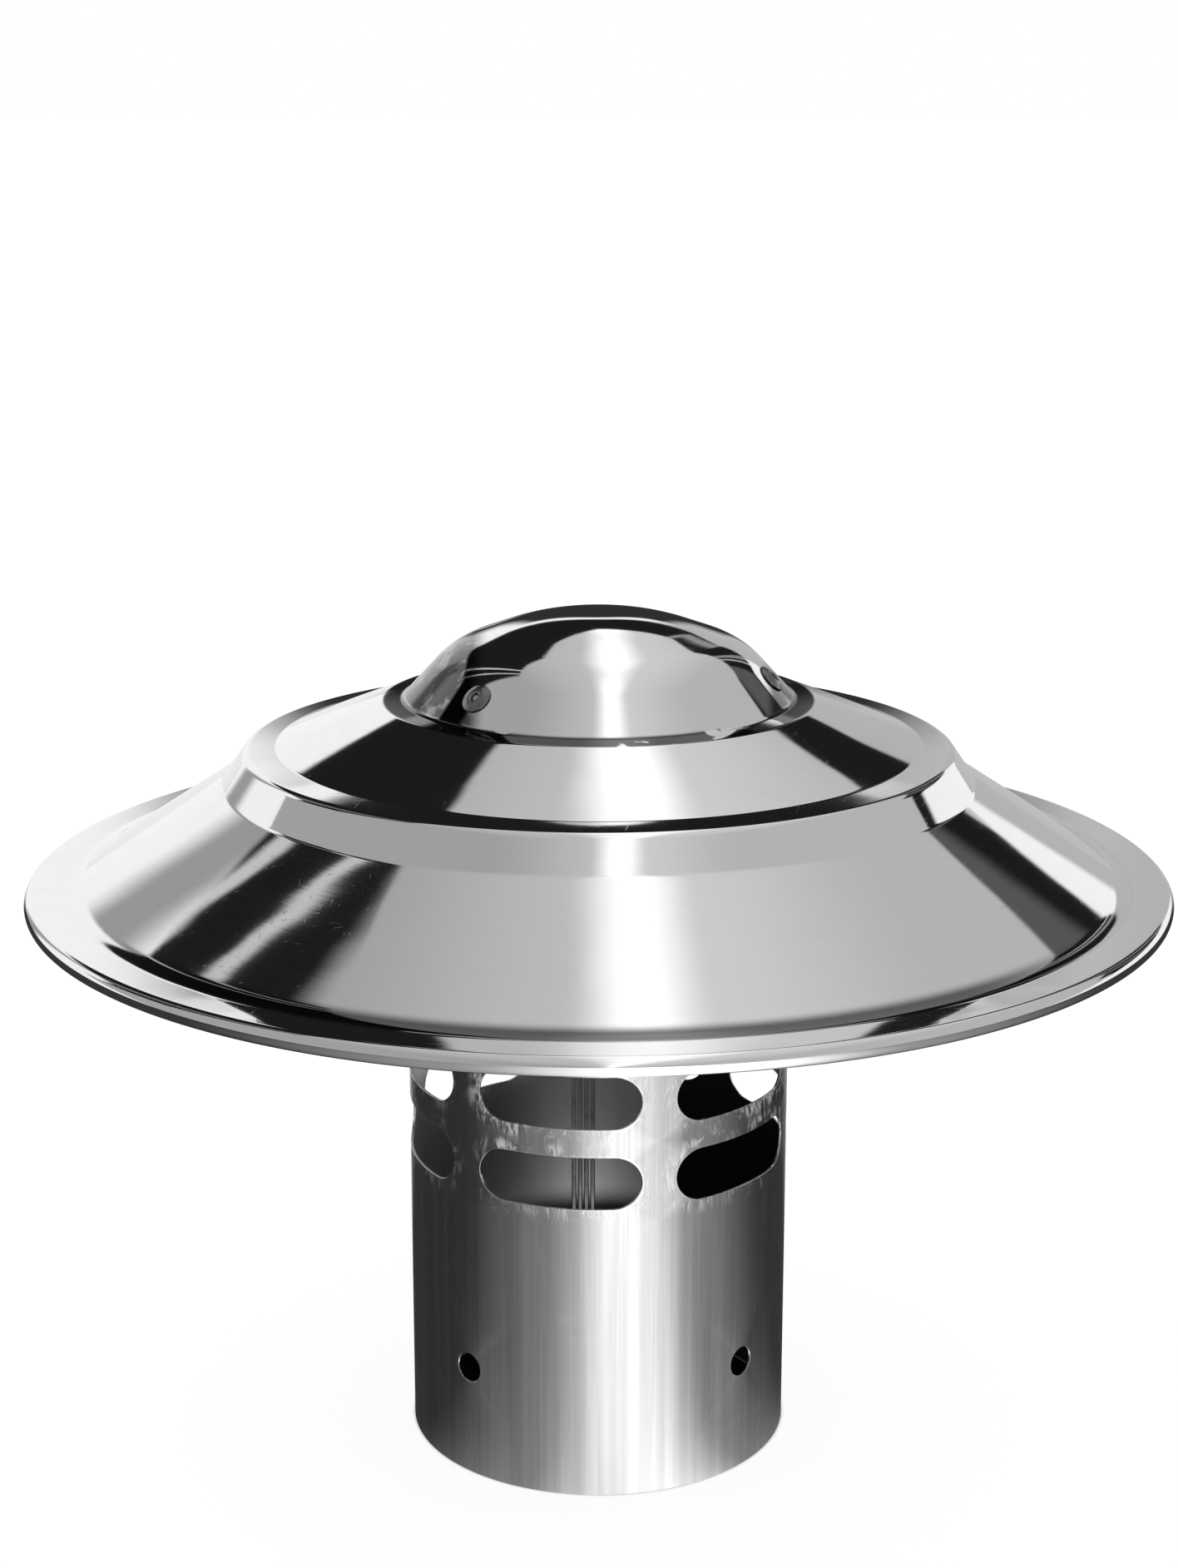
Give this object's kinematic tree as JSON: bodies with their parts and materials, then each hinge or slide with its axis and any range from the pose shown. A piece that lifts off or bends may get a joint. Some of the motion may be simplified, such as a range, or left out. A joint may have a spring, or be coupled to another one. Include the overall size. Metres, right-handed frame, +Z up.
{
  "type": "roof vent cap",
  "caption": "Stainless steel rain cap for a round flue: a slotted sleeve slips over the pipe and carries a wide stepped hood that keeps the rain out.",
  "frame": {"origin": "centre of the sleeve's foot, in the plane that the cap stands on", "axes": "+Z up along the sleeve's axis; -Y is the front, where a middle slot faces"},
  "size_m": [0.3, 0.3, 0.2254],
  "materials": {
    "polished_stainless": "mirror polished",
    "mill_stainless": "satin",
    "rivet_steel": "satin",
    "mandrel_steel": "satin"
  },
  "bodies": {
    "root": {"hood": "polished_stainless", "sleeve": "mill_stainless", "rivet_body_1": "rivet_steel", "rivet_body_2": "rivet_steel", "rivet_body_3": "rivet_steel", "rivet_mandrel_1": "mandrel_steel", "rivet_mandrel_2": "mandrel_steel", "rivet_mandrel_3": "mandrel_steel"}
  },
  "joints": []
}
